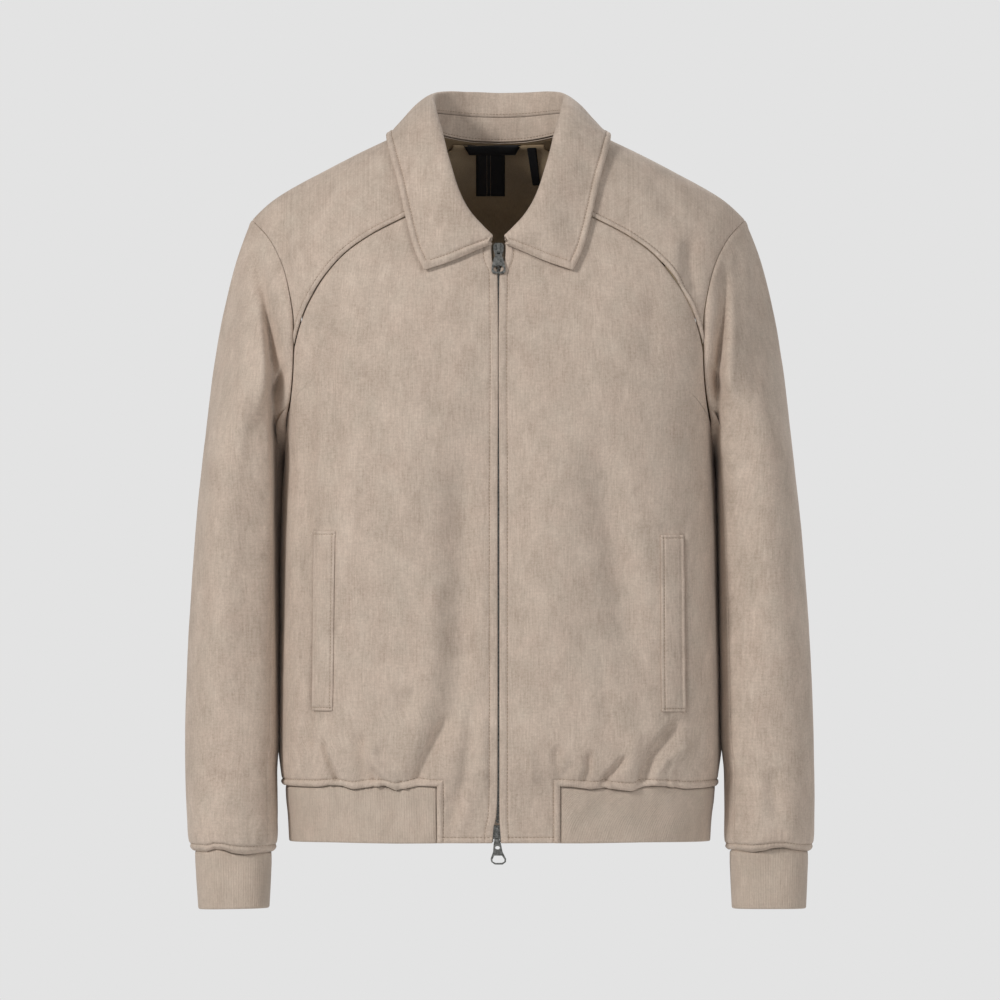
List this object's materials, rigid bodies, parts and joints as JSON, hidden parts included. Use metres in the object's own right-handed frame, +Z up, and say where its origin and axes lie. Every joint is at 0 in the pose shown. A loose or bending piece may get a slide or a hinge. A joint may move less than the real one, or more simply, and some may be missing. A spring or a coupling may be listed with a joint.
{
  "type": "suede jacket",
  "caption": "Zip-up suede blouson with shirt collar, curved front yokes, welt pockets and banded hem and cuffs, filled out as worn with nobody in it.",
  "frame": {"origin": "middle of the neck at the height of the back neck seam, where the neck and shoulders of a wearer carry the jacket", "axes": "+Z up, -Y to the front of the jacket, +X to the wearer's left; the sleeves hang down at the sides"},
  "size_m": [0.5939, 0.2446, 0.7721],
  "materials": {
    "suede": "warm taupe suede with a short soft nap and faint mottling",
    "band": "the same suede face, finely ribbed, on the hem band and cuffs",
    "lining": "smooth dark olive brown lining with a slight sheen",
    "label": "black woven label, bare",
    "tape": "taupe woven zip tape",
    "metal": "antique gunmetal, worn brighter on the edges"
  },
  "bodies": {
    "jacket": {"front_r": "suede", "front_l": "suede", "yoke_r": "suede", "yoke_l": "suede", "back": "suede", "sleeve_top_r": "suede", "sleeve_top_l": "suede", "sleeve_under_r": "suede", "sleeve_under_l": "suede", "cuff_r": "band", "cuff_l": "band", "hem_band": "band", "collar_fall": "suede", "collar_stand": "suede", "welt_r": "suede", "welt_l": "suede", "lining_back": "lining", "label_main": "label", "label_loop": "label", "label_size": "label", "zip_tape_r": "tape", "zip_tape_l": "tape", "zip_chain": "metal", "slider_top": "metal", "slider_bottom": "metal"},
    "top_pull": {"pull_top": "metal"},
    "bottom_pull": {"pull_bottom": "metal"}
  },
  "joints": [
    {"name": "top_pull_hinge", "type": "hinge", "parent": "jacket", "child": "top_pull", "pos_m": [0, -0.0919, -0.10598], "axis": [-1, 0, 0], "range_deg": [0, 120]},
    {"name": "bottom_pull_hinge", "type": "hinge", "parent": "jacket", "child": "bottom_pull", "pos_m": [-0.00172, -0.09975, -0.65341], "axis": [-1, 0, 0], "range_deg": [0, 120]}
  ]
}
